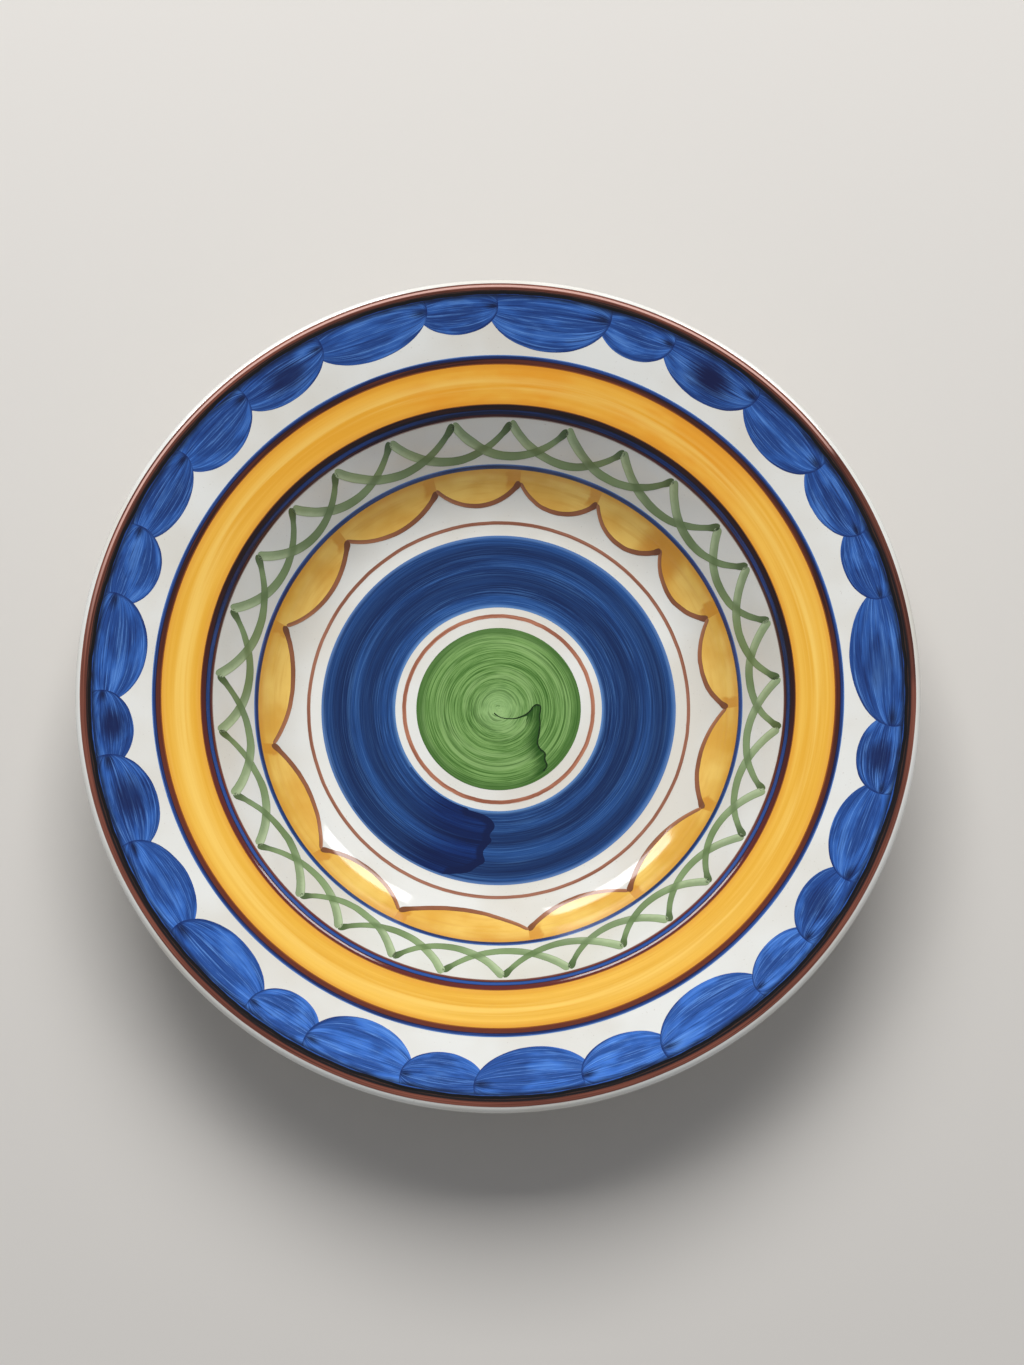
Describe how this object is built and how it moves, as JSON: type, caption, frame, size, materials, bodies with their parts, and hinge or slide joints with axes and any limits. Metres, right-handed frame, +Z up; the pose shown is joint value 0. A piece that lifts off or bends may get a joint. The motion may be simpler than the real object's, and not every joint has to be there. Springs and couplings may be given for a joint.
{
  "type": "hand-painted ceramic plate",
  "caption": "Round deep ceramic plate with a broad sloping flange and a foot ring, white glaze, and brush-painted petals, bands, lattice and scallops.",
  "frame": {"origin": "on the plate's axis, in the plane that the foot ring rests on", "axes": "+Z up along the plate's axis, out of the well; +Y away from the viewer when the plate lies as usually seen"},
  "size_m": [0.32, 0.32, 0.0657],
  "materials": {
    "fired_clay": "matte, unglazed",
    "white_glaze": "glossy",
    "brown_line": "glossy",
    "black_line": "glossy",
    "petal_blue": "glossy",
    "blue_line": "glossy",
    "dark_brown_line": "glossy",
    "yellow_band": "glossy",
    "lattice_green": "glossy",
    "ochre": "glossy",
    "floor_blue": "glossy",
    "floor_blue_lap": "glossy",
    "disc_green": "glossy",
    "heel_green": "glossy"
  },
  "bodies": {
    "root": {"clay_body": "fired_clay", "foot_ring": "fired_clay", "front_glaze": "white_glaze", "back_glaze": "white_glaze", "base_glaze": "white_glaze", "lip_brown_line": "brown_line", "lip_brown_line_inner": "brown_line", "lip_black_line": "black_line", "petal_01": "petal_blue", "petal_02": "petal_blue", "petal_03": "petal_blue", "petal_04": "petal_blue", "petal_05": "petal_blue", "petal_06": "petal_blue", "petal_07": "petal_blue", "petal_08": "petal_blue", "petal_09": "petal_blue", "petal_10": "petal_blue", "petal_11": "petal_blue", "petal_12": "petal_blue", "petal_13": "petal_blue", "petal_14": "petal_blue", "petal_15": "petal_blue", "petal_16": "petal_blue", "petal_17": "petal_blue", "petal_18": "petal_blue", "petal_19": "petal_blue", "petal_20": "petal_blue", "petal_21": "petal_blue", "petal_22": "petal_blue", "petal_23": "petal_blue", "petal_24": "petal_blue", "petal_25": "petal_blue", "petal_26": "petal_blue", "petal_27": "petal_blue", "petal_28": "petal_blue", "flange_blue_line": "blue_line", "flange_brown_line": "dark_brown_line", "yellow_band": "yellow_band", "shoulder_brown_line": "dark_brown_line", "shoulder_blue_line": "blue_line", "shoulder_maroon_line": "dark_brown_line", "green_lattice": "lattice_green", "wall_blue_line": "blue_line", "ochre_scallops": "ochre", "scallop_outline": "brown_line", "floor_brown_ring": "brown_line", "blue_band": "floor_blue", "blue_band_lap": "floor_blue_lap", "inner_brown_ring": "brown_line", "green_disc": "disc_green", "green_heel": "heel_green"}
  },
  "joints": []
}
